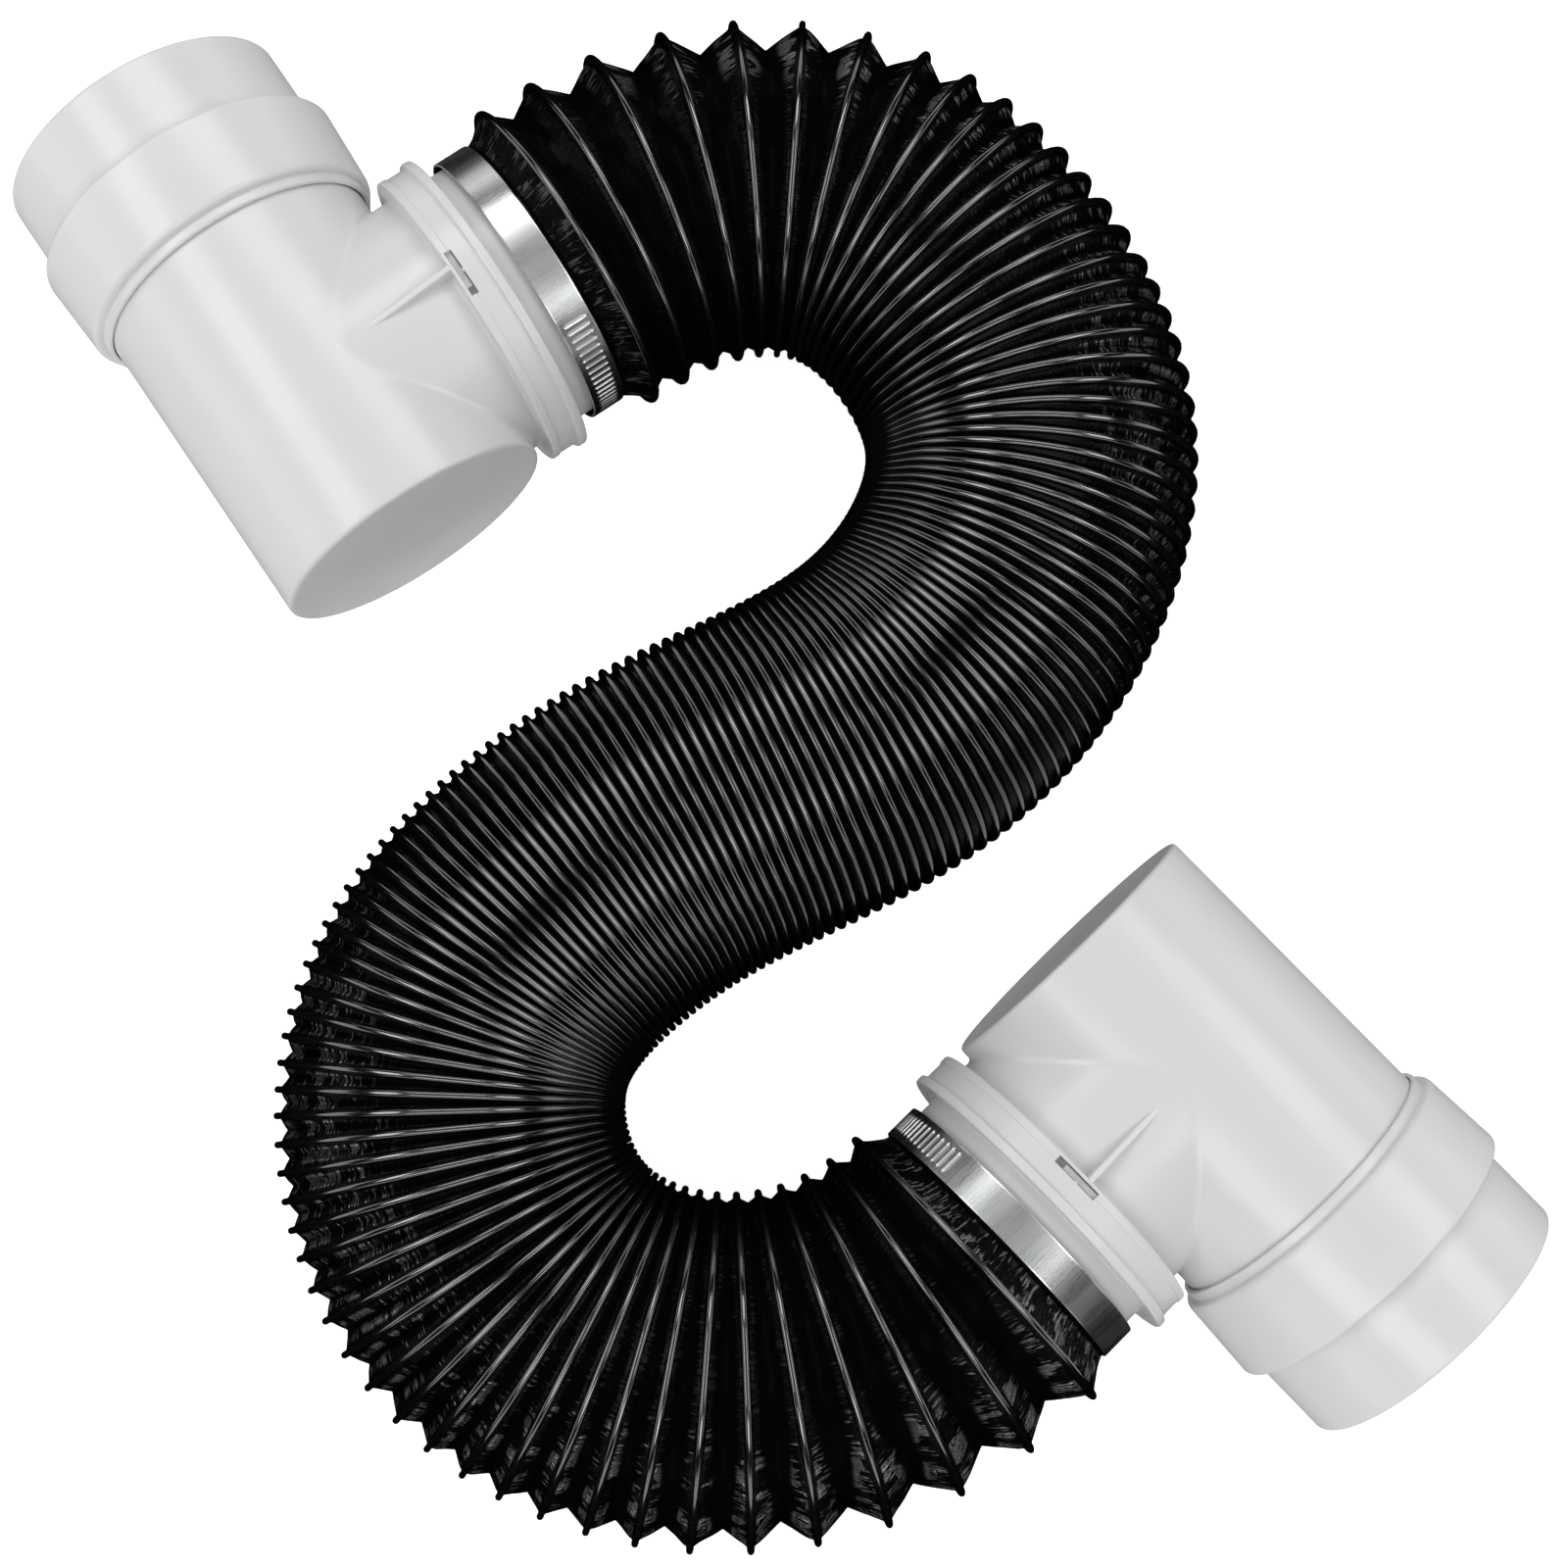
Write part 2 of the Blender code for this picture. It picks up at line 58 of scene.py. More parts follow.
def addCamera(settings):
    data = bpy.data.cameras.new("camera")
    data.lens = settings["lens"]
    data.sensor_width = settings["sensorWidth"]
    data.clip_start = 0.01
    camera = bpy.data.objects.new("camera", data)
    camera.location = settings["place"]
    camera.rotation_euler = [math.radians(angle) for angle in settings["turn"]]
    bpy.context.scene.collection.objects.link(camera)
    bpy.context.scene.camera = camera


addCamera(cameraSettings)


# Where each connector is: +X along its branch, +Y out of its open end, the origin where the two axes cross.
def connectorPlaces():
    places = {}
    for joint in frame["record"]["behaviour"]["joints"]:
        if joint["name"].startswith("collar_swivel_"):
            mouth = Vector(joint["axis"])
            up = Vector((0, 0, 1))
            turn = Matrix((mouth.cross(up), mouth, up)).transposed().to_4x4()
            places[joint["name"][-1]] = Matrix.Translation(joint["pos_m"]) @ turn
    return places


places = connectorPlaces()

# Shared sizes of the connectors and clamps, in millimetres in the connector's own frame
fit = {
    "bodyRadius": 52.5, "branchRadius": 50.6, "bandStart": 57.7, "bandEnd": 71.7, "bandRadius": 57.2,
    "spigotRadius": 50.0, "flangeRadius": 53.0, "socketRadius": 53.3, "seatFloor": 58.6,
    "clampStart": 78.8, "clampWidth": 12.7, "clampBore": 52.186, "clampRadius": 52.886,
    "windowTurn": 3.0, "housingTurn": 150.0,
}


# Small helpers for shapes
def unit(vector):
    return vector / np.linalg.norm(vector, axis=-1, keepdims=True)


def softStep(low, high, value):
    t = np.clip((value - low) / (high - low), 0, 1)
    return t * t * (3 - 2 * t)


def rounded(corners, steps=5, closed=False):
    # each corner is (along, out, how far from the corner its bend starts)
    spots = [np.array(corner[:2], float) for corner in corners]
    outline = []
    for i, (spot, corner) in enumerate(zip(spots, corners)):
        bend = corner[2] if len(corner) > 2 else 0
        isEnd = not closed and i in (0, len(spots) - 1)
        if not bend or isEnd:
            outline.append(spot)
            continue
        before, after = spots[i - 1] - spot, spots[(i + 1) % len(spots)] - spot
        start = spot + before * min(0.49, bend / np.linalg.norm(before))
        end = spot + after * min(0.49, bend / np.linalg.norm(after))
        for t in np.linspace(0, 1, steps + 1):
            outline.append((1 - t) ** 2 * start + 2 * t * (1 - t) * spot + t ** 2 * end)
    return np.array(outline)


def filled(outline, step):
    # more points on the long straight stretches of an outline
    points = [outline[0]]
    for start, end in zip(outline[:-1], outline[1:]):
        count = max(1, round(np.linalg.norm(end - start) / step))
        points += [start + (end - start) * i / count for i in range(1, count + 1)]
    return np.array(points)


def meshFromGrid(name, grid, loopRows=False, loopColumns=False):
    rows, columns = grid.shape[:2]
    index = np.arange(rows * columns).reshape(rows, columns)
    if loopRows:
        index = np.vstack([index, index[:1]])
    if loopColumns:
        index = np.hstack([index, index[:, :1]])
    corners = [index[:-1, :-1], index[:-1, 1:], index[1:, 1:], index[1:, :-1]]
    faces = np.stack(corners, axis=-1).reshape(-1, 4)
    mesh = bpy.data.meshes.new(name)
    mesh.from_pydata((grid.reshape(-1, 3) * toMetres).tolist(), [], faces.tolist())
    return mesh


def cleaned(mesh, merge=0.000002):
    shape = bmesh.new()
    shape.from_mesh(mesh)
    bmesh.ops.remove_doubles(shape, verts=shape.verts, dist=merge)
    bmesh.ops.dissolve_degenerate(shape, edges=shape.edges, dist=merge)
    bmesh.ops.recalc_face_normals(shape, faces=shape.faces)
    shape.to_mesh(mesh)
    shape.free()
    return mesh


def facedOut(mesh):
    shape = bmesh.new()
    shape.from_mesh(mesh)
    bmesh.ops.recalc_face_normals(shape, faces=shape.faces)
    shape.to_mesh(mesh)
    shape.free()
    return mesh


def turnedGrid(outline, axis, sides):
    # the outline lists (along, out); rows follow it and columns go round
    angle = np.arange(sides) * 2 * math.pi / sides
    along = np.repeat(outline[:, :1], sides, axis=1)
    first = outline[:, 1:2] * np.cos(angle)
    second = outline[:, 1:2] * np.sin(angle)
    order = {"x": (along, first, second), "y": (first, along, second)}[axis]
    return np.stack(order, axis=-1)


def turnedMesh(name, outline, axis, sides=128, closedOutline=True):
    grid = turnedGrid(outline, axis, sides)
    return cleaned(meshFromGrid(name, grid, loopRows=closedOutline, loopColumns=True))


def storeVectors(mesh, name, values):
    layer = mesh.attributes.new(name, "FLOAT_VECTOR", "POINT")
    layer.data.foreach_set("vector", np.ascontiguousarray(values, dtype=np.float32).ravel())


def boxMesh(name, size, place, bevel=0.0):
    shape = bmesh.new()
    bmesh.ops.create_cube(shape, size=1.0, matrix=Matrix.Diagonal((*[side * toMetres for side in size], 1)))
    if bevel:
        bmesh.ops.bevel(
            shape, geom=shape.edges[:], offset=bevel * toMetres, segments=3, profile=0.5, affect="EDGES")
    bmesh.ops.transform(shape, matrix=place, verts=shape.verts)
    mesh = bpy.data.meshes.new(name)
    shape.to_mesh(mesh)
    shape.free()
    return mesh


def moved(x, y, z):
    return Matrix.Translation((x * toMetres, y * toMetres, z * toMetres))


def turnedAboutBranch(degrees):
    return Matrix.Rotation(math.radians(degrees), 4, "X")


def joinedSolid(base, steps):
    # base is a mesh, and so is the tool of each step, which is (operation, tool)
    target = bpy.data.objects.new("workpiece", base)
    bpy.context.scene.collection.objects.link(target)
    tools = []
    for operation, mesh in steps:
        tool = bpy.data.objects.new("tool", mesh)
        bpy.context.scene.collection.objects.link(tool)
        step = target.modifiers.new("step", "BOOLEAN")
        step.operation = operation
        step.solver = "EXACT"
        step.object = tool
        tools.append(tool)
    bpy.context.view_layer.update()
    done = bpy.data.meshes.new_from_object(target.evaluated_get(bpy.context.evaluated_depsgraph_get()))
    for helper in [target, *tools]:
        bpy.data.objects.remove(helper, do_unlink=True)
    return done


def addPiece(name, mesh, finish, body, place=None, sharp=35):
    # a piece with a place keeps its own coordinates for its material
    mesh.materials.clear()
    mesh.materials.append(finish)
    mesh.shade_smooth()
    mesh.set_sharp_from_angle(angle=math.radians(sharp))
    if place is not None:
        own = np.zeros(len(mesh.vertices) * 3, dtype=np.float32)
        mesh.vertices.foreach_get("co", own)
        storeVectors(mesh, "ownPoint", own)
        mesh.transform(place)
    piece = bpy.data.objects.new(name, mesh)
    bpy.context.scene.collection.objects.link(piece)
    if place is not None:
        piece.modifiers.new("evenNormals", "WEIGHTED_NORMAL").keep_sharp = True
    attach(piece, body)
    return piece


# Shader sockets written as plain arithmetic
class Signal:
    def __init__(self, finish, socket):
        self.finish = finish
        self.socket = socket

    def maths(self, operation, first, second):
        return self.finish.maths(operation, first, second)

    def __add__(self, other):
        return self.maths("ADD", self, other)

    __radd__ = __add__

    def __sub__(self, other):
        return self.maths("SUBTRACT", self, other)

    def __rsub__(self, other):
        return self.maths("SUBTRACT", other, self)

    def __mul__(self, other):
        return self.maths("MULTIPLY", self, other)

    __rmul__ = __mul__

    def __truediv__(self, other):
        return self.maths("DIVIDE", self, other)

    def __pow__(self, other):
        return self.maths("POWER", self, other)


class Finish:
    def __init__(self, name):
        self.material = bpy.data.materials.new(name)
        self.material.use_nodes = True
        self.tree = self.material.node_tree
        self.shader = self.tree.nodes["Principled BSDF"]

    def node(self, kind, settings, sockets, result=0):
        made = self.tree.nodes.new(kind)
        for name, value in settings.items():
            setattr(made, name, value)
        for place, value in sockets.items():
            if isinstance(value, Signal):
                self.tree.links.new(value.socket, made.inputs[place])
            else:
                made.inputs[place].default_value = value
        return Signal(self, made.outputs[result])

    def maths(self, operation, first, second=0.0):
        return self.node("ShaderNodeMath", {"operation": operation}, {0: first, 1: second})

    def objectPoint(self):
        return self.node("ShaderNodeTexCoord", {}, {}, "Object")

    def stored(self, name):
        return self.node("ShaderNodeAttribute", {"attribute_name": name}, {}, "Vector")

    def parts(self, vector):
        split = self.tree.nodes.new("ShaderNodeSeparateXYZ")
        self.tree.links.new(vector.socket, split.inputs[0])
        return [Signal(self, output) for output in split.outputs]

    def vector(self, x, y, z):
        return self.node("ShaderNodeCombineXYZ", {}, {0: x, 1: y, 2: z})

    def stretched(self, vector, scale):
        return self.node("ShaderNodeVectorMath", {"operation": "MULTIPLY"}, {0: vector, 1: scale})

    def noise(self, vector, scale, detail=3.0, roughness=0.5, distortion=0.0):
        return self.node(
            "ShaderNodeTexNoise", {},
            {"Vector": vector, "Scale": scale, "Detail": detail, "Roughness": roughness,
             "Distortion": distortion}, "Fac")

    def cells(self, vector, scale):
        return self.node("ShaderNodeTexVoronoi", {"feature": "F1"}, {"Vector": vector, "Scale": scale}, "Distance")

    def between(self, value, low, high, first, last):
        return self.node(
            "ShaderNodeMapRange", {"interpolation_type": "SMOOTHSTEP"},
            {0: value, 1: low, 2: high, 3: first, 4: last})

    def greys(self, amount, first, last):
        return self.shades(amount, (first,) * 3, (last,) * 3)

    def shades(self, amount, first, last):
        return self.node(
            "ShaderNodeMix", {"data_type": "RGBA"}, {0: amount, 6: (*first, 1), 7: (*last, 1)}, 2)

    def bump(self, height, distance):
        return self.node(
            "ShaderNodeBump", {}, {"Height": height, "Distance": distance, "Strength": 1.0}, "Normal")

    def surface(self, **sockets):
        for name, value in sockets.items():
            place = self.shader.inputs[name.replace("_", " ")]
            if isinstance(value, Signal):
                self.tree.links.new(value.socket, place)
            else:
                place.default_value = value
        return self.material


# The hose: its route, the points between the connectors' crossings, in millimetres from connector A
hose = {
    "route": [
        (164, -11), (202, -42), (217, -102), (204, -151), (122, -202), (74, -202),
        (24, -195), (-30, -195), (-84, -214), (-117, -294), (-90, -347), (-37, -378),
    ],
    "straightStart": 21.2,
    "routeStep": 5.0,
    "crestRadius": 60.45,
    "cuffRadius": 51.886,
    "cuffLength": 13.5,
    "crests": {  # which crest, and how far along the hose it is
        0: 23.0, 1: 40.0, 2: 58.4, 3: 77.2, 4: 94.8, 5: 111.0, 6: 126.0, 7: 139.2, 8: 150.2, 9: 160.0, 10: 169.2,
        15: 212.4, 20: 247.2, 25: 275.6, 30: 300.8, 35: 324.4, 40: 344.8, 46: 369.4, 52: 395.0, 60: 430.0,
        67: 460.8, 73: 486.0, 80: 515.4, 85: 536.0, 90: 557.6, 93: 572.0, 96: 588.2, 99: 606.2, 101: 618.6,
        103: 632.4, 105: 648.0, 107: 664.4, 109: 681.8, 110: 691.4, 111: 701.8, 112: 712.9, 113: 725.2,
        114: 738.9, 115: 754.1, 116: 770.6, 117: 788.4, 118: 807.4, 119: 827.2,
    },
    "wireRadius": 1.25,
    "climb": 0.22,  # the share of the first and last turn in which the wire leaves the cuff
    "stepOver": 0.2,  # the share of a turn, each side of the underside, in which the wire moves on to the next
    "neckLength": 1.15,  # the film's short steep part beside the wire
    "neckDepth": 2.5,
    "fold": (1.2, 0.375, 27),  # depth with no gap between the turns, share of the gap, widest gap that counts
    "cuffSag": 0.8,
    "arcRadius": 56,  # lengths round the film are counted at this radius
    "wireArcRadius": 59,
    "creaseReach": (4.5, 5.5),  # from the wire where the turns lie close, and how much further at the ends
    "waves": {  # length round the hose, length along it, height
        "strokes": (4.8, 8, 0.5), "broad": (14, 7, 0.15), "wobble": (11, 40, 0.45), "shift": (9, 40, 0.8),
    },
    "drawnTurns": 14,  # turns at each end that are drawn out and modelled finest
    "drawnSteps": (144, 14),  # round a turn, and across the film between two turns
    "pushedSteps": (72, 6),
    "wireSteps": (64, 10),
    "cuffRows": 5,
    "seed": 11,
}


def smoothCurve(points, firstSlope, lastSlope, step):
    # a cubic curve through the points, its slopes held at both ends
    points = np.array(points, float)
    span = np.linalg.norm(np.diff(points, axis=0), axis=1)
    chord = np.diff(points, axis=0) / span[:, None]
    matrix = np.eye(len(points))
    slopes = np.zeros_like(points)
    slopes[0], slopes[-1] = firstSlope, lastSlope
    for i in range(1, len(points) - 1):
        matrix[i, i - 1:i + 2] = span[i], 2 * (span[i - 1] + span[i]), span[i - 1]
        slopes[i] = 3 * (span[i] * chord[i - 1] + span[i - 1] * chord[i])
    slopes = np.linalg.solve(matrix, slopes)
    curve = []
    for i, length in enumerate(span):
        a, b = points[i], points[i + 1]
        start, end = slopes[i] * length, slopes[i + 1] * length
        square, cube = 3 * (b - a) - 2 * start - end, 2 * (a - b) + start + end
        for t in np.arange(0, 1, step / length / 4):
            curve.append(a + t * start + t ** 2 * square + t ** 3 * cube)
    return np.array(curve + [points[-1]])


def hoseLine():
    # evenly spaced points of the hose's middle line, and its length
    origin = np.array(places["a"].translation) / toMetres
    ends, leaves, slopes = [], [], []
    for side in ("a", "b"):
        for store, along in ((ends, fit["clampStart"]), (leaves, fit["clampStart"] + hose["straightStart"])):
            store.append(np.array(places[side] @ Vector((along * toMetres, 0, 0)))[:2] / toMetres)
        slopes.append(np.array(places[side].to_3x3() @ Vector((1, 0, 0)))[:2])
    route = [origin[:2] + np.array(point) for point in hose["route"]]
    curve = smoothCurve([leaves[0], *route, leaves[1]], slopes[0], -slopes[1], hose["routeStep"])
    curve = np.vstack([ends[0], curve, ends[1]])
    travel = np.concatenate([[0], np.cumsum(np.linalg.norm(np.diff(curve, axis=0), axis=1))])
    even = np.linspace(0, travel[-1], round(travel[-1] / hose["routeStep"]) + 1)
    line = np.column_stack([np.interp(even, travel, curve[:, axis]) for axis in (0, 1)])
    return even, line, origin[2]


lineStations, linePoints, axisHeight = hoseLine()
lineSlopes = unit(np.gradient(linePoints, axis=0))
hoseLength = lineStations[-1]


def onHose(station, radius, turn):
    # a point of the hose from how far along it is, how far out, and how far round from its underside
    x, y = (np.interp(station, lineStations, linePoints[:, axis]) for axis in (0, 1))
    slopeX, slopeY = (np.interp(station, lineStations, lineSlopes[:, axis]) for axis in (0, 1))
    angle = 2 * math.pi * turn
    side, rise = radius * np.sin(angle), -radius * np.cos(angle)
    return np.stack([x - side * slopeY, y + side * slopeX, axisHeight + rise + 0 * x], axis=-1)


crests = np.interp(range(max(hose["crests"]) + 1), list(hose["crests"]), list(hose["crests"].values()))
turns = len(crests)
cuffEdges = (hose["cuffLength"], hoseLength - hose["cuffLength"])
print("hose:", round(hoseLength), "mm long with", turns, "turns of wire")


def wireAt(turn):
    # station and radius of the wire's middle; each whole turn starts and ends on the underside
    whole = np.floor(turn)
    part = turn - whole
    over = hose["stepOver"]
    later = part >= 0.5
    advance = whole + np.where(later, 0.5, -0.5) + softStep(-over, over, part - later)
    knots = np.concatenate([[0], np.arange(turns) + 0.5, [turns]])
    station = np.interp(advance, knots, [cuffEdges[0], *crests, cuffEdges[1]])
    raised = softStep(0, hose["climb"], turn) * softStep(0, hose["climb"], turns - turn)
    low, high = hose["cuffRadius"], hose["crestRadius"] - hose["wireRadius"]
    return station, low + (high - low) * raised, raised


def latticeNoise(x, y, seed):
    # smooth random values from -1 to 1
    lattice = np.random.RandomState(seed).rand(256, 256) * 2 - 1
    column, row = np.floor(x).astype(int), np.floor(y).astype(int)
    u, v = x - column, y - row
    u, v = u * u * (3 - 2 * u), v * v * (3 - 2 * v)
    corners = [lattice[(column + i) % 256, (row + j) % 256] for i, j in ((0, 0), (1, 0), (0, 1), (1, 1))]
    lower = corners[0] * (1 - u) + corners[1] * u
    upper = corners[2] * (1 - u) + corners[3] * u
    return lower * (1 - v) + upper * v


def filmStretch(firstTurn, lastTurn, steps):
    # the film between each turn of the wire and the next, as one long helical strip
    around, across = steps
    turn = np.linspace(firstTurn, lastTurn, round((lastTurn - firstTurn) * around) + 1)[:, None]
    lowStation, lowRadius, lowRaised = wireAt(turn)
    highStation, highRadius, highRaised = wireAt(turn + 1)
    part = turn - np.floor(turn)
    low, high = onHose(lowStation, lowRadius, part), onHose(highStation, highRadius, part)
    gap = np.linalg.norm(high - low, axis=-1)

    # from each wire the film goes down a short neck, then straight to the fold
    half = across // 2
    neck = np.minimum(hose["neckLength"] / np.maximum(gap, 0.1), 0.25)
    flank = [neck + (0.5 - neck) * i / (half - 1) for i in range(half)]
    share = np.hstack([0 * neck, *flank, *[1 - step for step in reversed(flank[:-1])], 1 + 0 * neck])
    toWire = np.minimum(share, 1 - share)
    shallowest, deeper, widest = hose["fold"]
    fold = shallowest + deeper * np.minimum(gap, widest)
    neckDepth = np.minimum(hose["neckDepth"], 0.75 * fold)
    slope = np.clip((toWire - neck) / np.maximum(0.5 - neck, 0.01), 0, 1)
    onNeck = np.clip(toWire / np.maximum(neck, 0.001), 0, 1)
    wireRadius = hose["wireRadius"]
    pleated = wireRadius + (neckDepth - wireRadius) * onNeck + (fold - neckDepth) * slope
    plain = wireRadius * (lowRaised * (1 - share) + highRaised * share)
    plain = plain + hose["cuffSag"] * np.sin(math.pi * share)
    drawn = lowRaised * highRaised
    depth = pleated * drawn + plain * (1 - drawn)
    top = (lowRadius + wireRadius * lowRaised) * (1 - share)
    top = top + (highRadius + wireRadius * highRaised) * share
    station = lowStation + (highStation - lowStation) * share

    # creases lie near the wire, most of all on the outer side of a bend and where the turns are far apart
    fromWire = toWire * gap
    arc = turn * 2 * math.pi * hose["arcRadius"] + 0 * share
    slack = np.clip(gap / 18, 0, 1.3) ** 1.5 + 0 * share
    near, further = hose["creaseReach"]
    reach = near + further * softStep(15, 26, gap)
    creased = softStep(1.2, 2.4, fromWire) * (1 - softStep(0.5 * reach, reach + 1.5, fromWire))
    outer = softStep(1.0, 1.45, gap / np.maximum(highStation - lowStation, 0.1))
    creased = creased * softStep(4.5, 9, gap) * (0.3 + 0.7 * outer)
    creased = np.maximum(creased, 0.9 * (1 - drawn) * np.sin(math.pi * share) ** 0.5)

    # the creases and the film's slower waves, as real relief
    wide = lowStation + 0 * share
    waves = {}
    for number, (name, along) in enumerate(
            {"strokes": station, "broad": station, "wobble": wide, "shift": wide}.items()):
        around, lengthwise, height = hose["waves"][name]
        waves[name] = height * latticeNoise(arc / around, along / lengthwise, hose["seed"] + number)
    depth = depth + creased * waves["strokes"] + softStep(1, 5, fromWire) * waves["broad"] * slack
    depth = depth + slope * drawn * waves["wobble"] * slack
    along = station + slope * drawn * waves["shift"] * slack
    grid = onHose(along, top - np.maximum(depth, 0), part + 0 * share)
    weave = np.stack([arc, share * gap, fromWire], axis=-1)
    creases = np.stack([creased, outer * np.minimum(slack, 1), along / hoseLength], axis=-1)
    return grid, weave, creases


def cuffGrid(side):
    angle = np.linspace(0, 1, hose["drawnSteps"][0], endpoint=False)[None, :]
    edge, inner = (0, cuffEdges[0]) if side == "a" else (hoseLength, cuffEdges[1])
    station = np.linspace(edge, inner, hose["cuffRows"])[:, None]
    level = 0 * station + 0 * angle
    return onHose(station + level, hose["cuffRadius"] + level, angle + level)


def joinedMesh(name, meshes):
    shape = bmesh.new()
    for mesh in meshes:
        shape.from_mesh(mesh)
    whole = bpy.data.meshes.new(name)
    shape.to_mesh(whole)
    shape.free()
    return whole


def filmMesh():
    drawn = hose["drawnTurns"]
    stretches = [
        (-1, drawn, hose["drawnSteps"]), (drawn, turns - drawn, hose["pushedSteps"]),
        (turns - drawn, turns, hose["drawnSteps"]),
    ]
    meshes = []
    for first, last, steps in stretches:
        grid, weave, creases = filmStretch(first, last, steps)
        mesh = meshFromGrid("film", grid)
        storeVectors(mesh, "weave", weave.reshape(-1, 3))
        storeVectors(mesh, "creases", creases.reshape(-1, 3))
        meshes.append(mesh)
    for side in ("a", "b"):
        grid = cuffGrid(side)
        mesh = meshFromGrid("cuff", grid, loopColumns=True)
        for name in ("weave", "creases"):
            storeVectors(mesh, name, np.zeros((grid.shape[0] * grid.shape[1], 3)))
        meshes.append(mesh)
    return facedOut(joinedMesh("film", meshes))


def wireMesh():
    # a round tube along the helix, its film over it
    around, sides = hose["wireSteps"]
    turn = np.linspace(0, turns, turns * around + 1)
    station, radius, raised = wireAt(turn)
    middle = onHose(station, radius, turn - np.floor(turn))
    outward = unit(onHose(station, radius + 1, turn - np.floor(turn)) - middle)
    heading = unit(np.gradient(middle, axis=0))
    sideways = unit(np.cross(heading, outward))
    outward = np.cross(sideways, heading)
    angle = np.arange(sides) * 2 * math.pi / sides
    thick = (hose["wireRadius"] * (0.35 + 0.65 * raised))[:, None, None]
    ring = np.cos(angle)[None, :, None] * outward[:, None]
    ring = ring + np.sin(angle)[None, :, None] * sideways[:, None]
    grid = middle[:, None] + ring * thick
    mesh = meshFromGrid("wire", grid, loopColumns=True)
    along = np.repeat(turn * 2 * math.pi * hose["wireArcRadius"], sides)
    over = np.tile(angle * hose["wireRadius"], len(turn))
    storeVectors(mesh, "weave", np.stack([along, over, 0 * along], axis=-1))
    return cleaned(mesh, 0.0000005)


filmLook = {
    "black": 0.0016, "shine": 0.24, "roughness": (0.12, 0.20), "creaseHeight": 0.0012,
    "strokes": (0.95, 0.15), "facets": (0.22, 0.12), "patches": (0.13, 0.10),  # scales round and across
    "paintedShadeNearA": (0.04, 0.22, 0.35),  # painted shade on the film's shine near connector A: from and to which share of the hose's length it fades, and how much is left before
}


def filmFinish():
    # thin film, black where it is smooth, creased and shining like foil near the wire, with painted shade on its
    # shine near connector A
    finish = Finish("blackFilm")
    weave = finish.stored("weave")
    around, across, _ = finish.parts(weave)
    creased, outer, place = finish.parts(finish.stored("creases"))
    stray = finish.noise(weave, 0.30, 2.0) * 1.6

    def woven(name, shift=0.0, height=0.0):
        lengthwise, crosswise = filmLook[name]
        return finish.vector(around * lengthwise + stray * shift, across * crosswise, height)

    lengthwise, crosswise = filmLook["facets"]
    facets = finish.cells(finish.vector(around * lengthwise + stray, across * crosswise + stray, 0.0), 1.0)
    strokes = finish.noise(woven("strokes", 0.3), 1.0, 2.0)
    patches = finish.noise(woven("patches", 0.0, 3.0), 1.0, 2.0)
    dull = finish.noise(weave, 0.12, 3.0)
    lines = finish.between(strokes, 0.52, 0.62, 0.0, 1.0) * finish.between(patches, 0.40, 0.54, 0.15, 1.0)
    sheets = outer * finish.between(patches, 0.50, 0.60, 0.0, 1.0)
    sheen = finish.between(creased, 0.1, 0.8, 0.0, 1.0) * finish.between(lines + sheets, 0.0, 1.0, 0.0, 1.0)
    # painted shade: the creases shine less near connector A, so the film there is darker whatever the lamps
    dimFrom, dimTo, dimmest = filmLook["paintedShadeNearA"]
    sheen = sheen * finish.between(place, dimFrom, dimTo, dimmest, 1.0)
    return finish.surface(
        Base_Color=finish.between(sheen, 0.0, 1.0, filmLook["black"], filmLook["shine"]),
        Metallic=sheen,
        Roughness=finish.between(dull, 0.3, 0.7, *filmLook["roughness"]),
        Specular_IOR_Level=0.05,
        Normal=finish.bump(creased * (strokes * 1.6 + outer * facets * 1.2), filmLook["creaseHeight"]))


wireLook = {
    "dark": (0.0022, 0.0022, 0.0024), "pale": (0.0045, 0.0045, 0.0047), "roughness": (0.13, 0.17),
    "coatRoughness": 0.12, "unevenness": 0.00002,
}


def wireFinish():
    finish = Finish("filmOverWire")
    uneven = finish.noise(finish.stored("weave"), 0.2, 2.0)
    return finish.surface(
        Base_Color=finish.shades(uneven, wireLook["dark"], wireLook["pale"]),
        Roughness=finish.between(uneven, 0.3, 0.7, *wireLook["roughness"]),
        Specular_IOR_Level=1.0, Coat_Weight=1.0, Coat_Roughness=wireLook["coatRoughness"], Coat_IOR=1.7,
        Normal=finish.bump(uneven, wireLook["unevenness"]))


film = addPiece("hose_film", filmMesh(), filmFinish(), "duct", sharp=38)
wire = addPiece("spring_wire", wireMesh(), wireFinish(), "duct", sharp=60)
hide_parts("hose")

print("hose film and wire made:", len(film.data.polygons), "and", len(wire.data.polygons), "faces")


# White plastic, satin, with the faint unevenness of a moulding
plasticLook = {
    "greys": (0.70, 0.74), "roughness": (0.30, 0.38), "coat": 0.35, "coatRoughness": 0.20, "unevenness": 0.00004,
}


def plasticFinish(name):
    finish = Finish(name)
    point = finish.stored("ownPoint")
    cloud = finish.noise(point, 18.0, 3.0)
    fine = finish.noise(point, 900.0, 2.0)
    flow = finish.noise(finish.stretched(point, (1.0, 0.25, 1.0)), 60.0, 2.0)
    return finish.surface(
        Base_Color=finish.greys(cloud, *plasticLook["greys"]),
        Roughness=finish.between(flow, 0.3, 0.7, *plasticLook["roughness"]),
        Specular_IOR_Level=0.5, Coat_Weight=plasticLook["coat"], Coat_Roughness=plasticLook["coatRoughness"],
        Normal=finish.bump(fine * 0.5 + flow, plasticLook["unevenness"]))


white = plasticFinish("whitePlastic")

